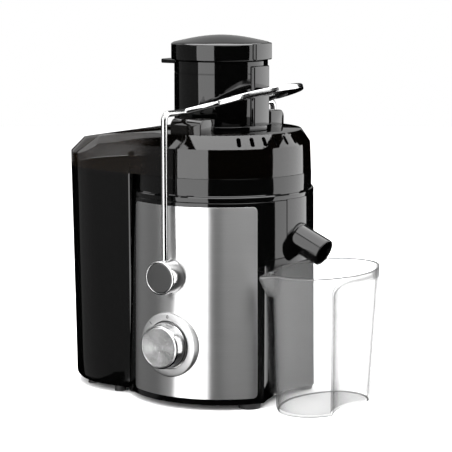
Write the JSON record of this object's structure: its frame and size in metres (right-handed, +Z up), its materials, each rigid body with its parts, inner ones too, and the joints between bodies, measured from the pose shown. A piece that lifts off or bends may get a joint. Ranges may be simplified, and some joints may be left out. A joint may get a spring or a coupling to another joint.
{
  "type": "centrifugal juicer",
  "caption": "Centrifugal juicer with a brushed steel front, a locking wire bail, a speed knob, a feed chute with pusher, a pulp container and a clear jug under its spout.",
  "frame": {"origin": "on the floor, on the motor axis", "axes": "+Z up, +X from the motor axis to the spout and jug, -Y the side with the knob"},
  "size_m": [0.354, 0.234, 0.3758],
  "materials": {
    "gloss_black": "mirror-smooth black ABS",
    "smoke_tint": "dark smoked polycarbonate, glossy",
    "brushed_panel": "stainless steel brushed round the body",
    "chrome_plate": "bright chrome plating",
    "satin_disc": "satin grey metal disc",
    "spun_disc": "spun disc, brushed in circles",
    "rubber_black": "soft black rubber",
    "matt_black": "fine matt black plastic",
    "clear_plastic": "clear plastic, glossy",
    "acetal": "natural white plastic",
    "zinc_steel": "zinc-plated steel",
    "motor_metal": "die-cast aluminium",
    "lamination": "stacked steel laminations",
    "copper_wire": "varnished copper",
    "bearing_metal": "ground steel",
    "sieve_steel": "stainless steel sieve",
    "board_green": "green circuit board"
  },
  "bodies": {
    "housing": {"base_housing": "gloss_black", "steel_panel": "brushed_panel", "base_plate": "matt_black", "base_feet": "rubber_black", "plate_screws": "zinc_steel", "cord_gland": "rubber_black", "pivot_bushes": "acetal", "motor_bracket": "motor_metal", "motor_bushes": "rubber_black", "motor_stator": "lamination", "field_coils": "copper_wire", "motor_end_frame": "motor_metal", "lower_bearing": "bearing_metal", "upper_bearing": "bearing_metal", "brush_holders": "matt_black", "shaft_seal": "rubber_black", "rotary_switch": "acetal", "control_board": "board_green", "interlock_switch": "matt_black", "dial_ring": "chrome_plate", "juice_collector": "gloss_black", "juice_spout": "gloss_black", "lid": "smoke_tint", "feed_chute": "gloss_black"},
    "drive": {"motor_shaft": "bearing_metal", "armature": "lamination", "commutator": "copper_wire", "cooling_fan": "matt_black", "drive_coupling": "motor_metal", "basket_hub": "matt_black", "filter_basket": "sieve_steel", "grater_disc": "sieve_steel"},
    "bail": {"front_arm": "chrome_plate", "rear_arm": "chrome_plate", "bail_grip": "chrome_plate", "front_hub": "chrome_plate", "rear_hub": "chrome_plate", "front_hub_disc": "satin_disc", "rear_hub_disc": "satin_disc", "pivot_pins": "bearing_metal"},
    "knob": {"knob_grip": "chrome_plate", "knob_insert": "spun_disc", "switch_spindle": "bearing_metal"},
    "pusher": {"pusher_body": "gloss_black", "pusher_cap": "gloss_black"},
    "pulp_bin": {"pulp_container": "gloss_black", "pulp_feet": "rubber_black"},
    "jug": {"juice_jug": "clear_plastic"}
  },
  "joints": [
    {"name": "drive_spin", "type": "hinge", "parent": "housing", "child": "drive", "pos_m": [0, 0, 0.17], "axis": [0, 0, 1], "continuous": true},
    {"name": "bail_swing", "type": "hinge", "parent": "housing", "child": "bail", "pos_m": [0.003, 0, 0.137], "axis": [0, 1, 0], "range_deg": [0, 85]},
    {"name": "knob_turn", "type": "hinge", "parent": "housing", "child": "knob", "pos_m": [0.0015, -0.101, 0.0657], "axis": [0, 1, 0], "range_deg": [-90, 45]},
    {"name": "pusher_slide", "type": "slide", "parent": "housing", "child": "pusher", "axis": [0, 0, 1], "range_m": [0, 0.14]},
    {"name": "bin_slide", "type": "slide", "parent": "housing", "child": "pulp_bin", "axis": [-1, 0, 0], "range_m": [0, 0.15]},
    {"name": "jug_slide", "type": "slide", "parent": "housing", "child": "jug", "axis": [1, 0, 0], "range_m": [0, 0.2]}
  ]
}
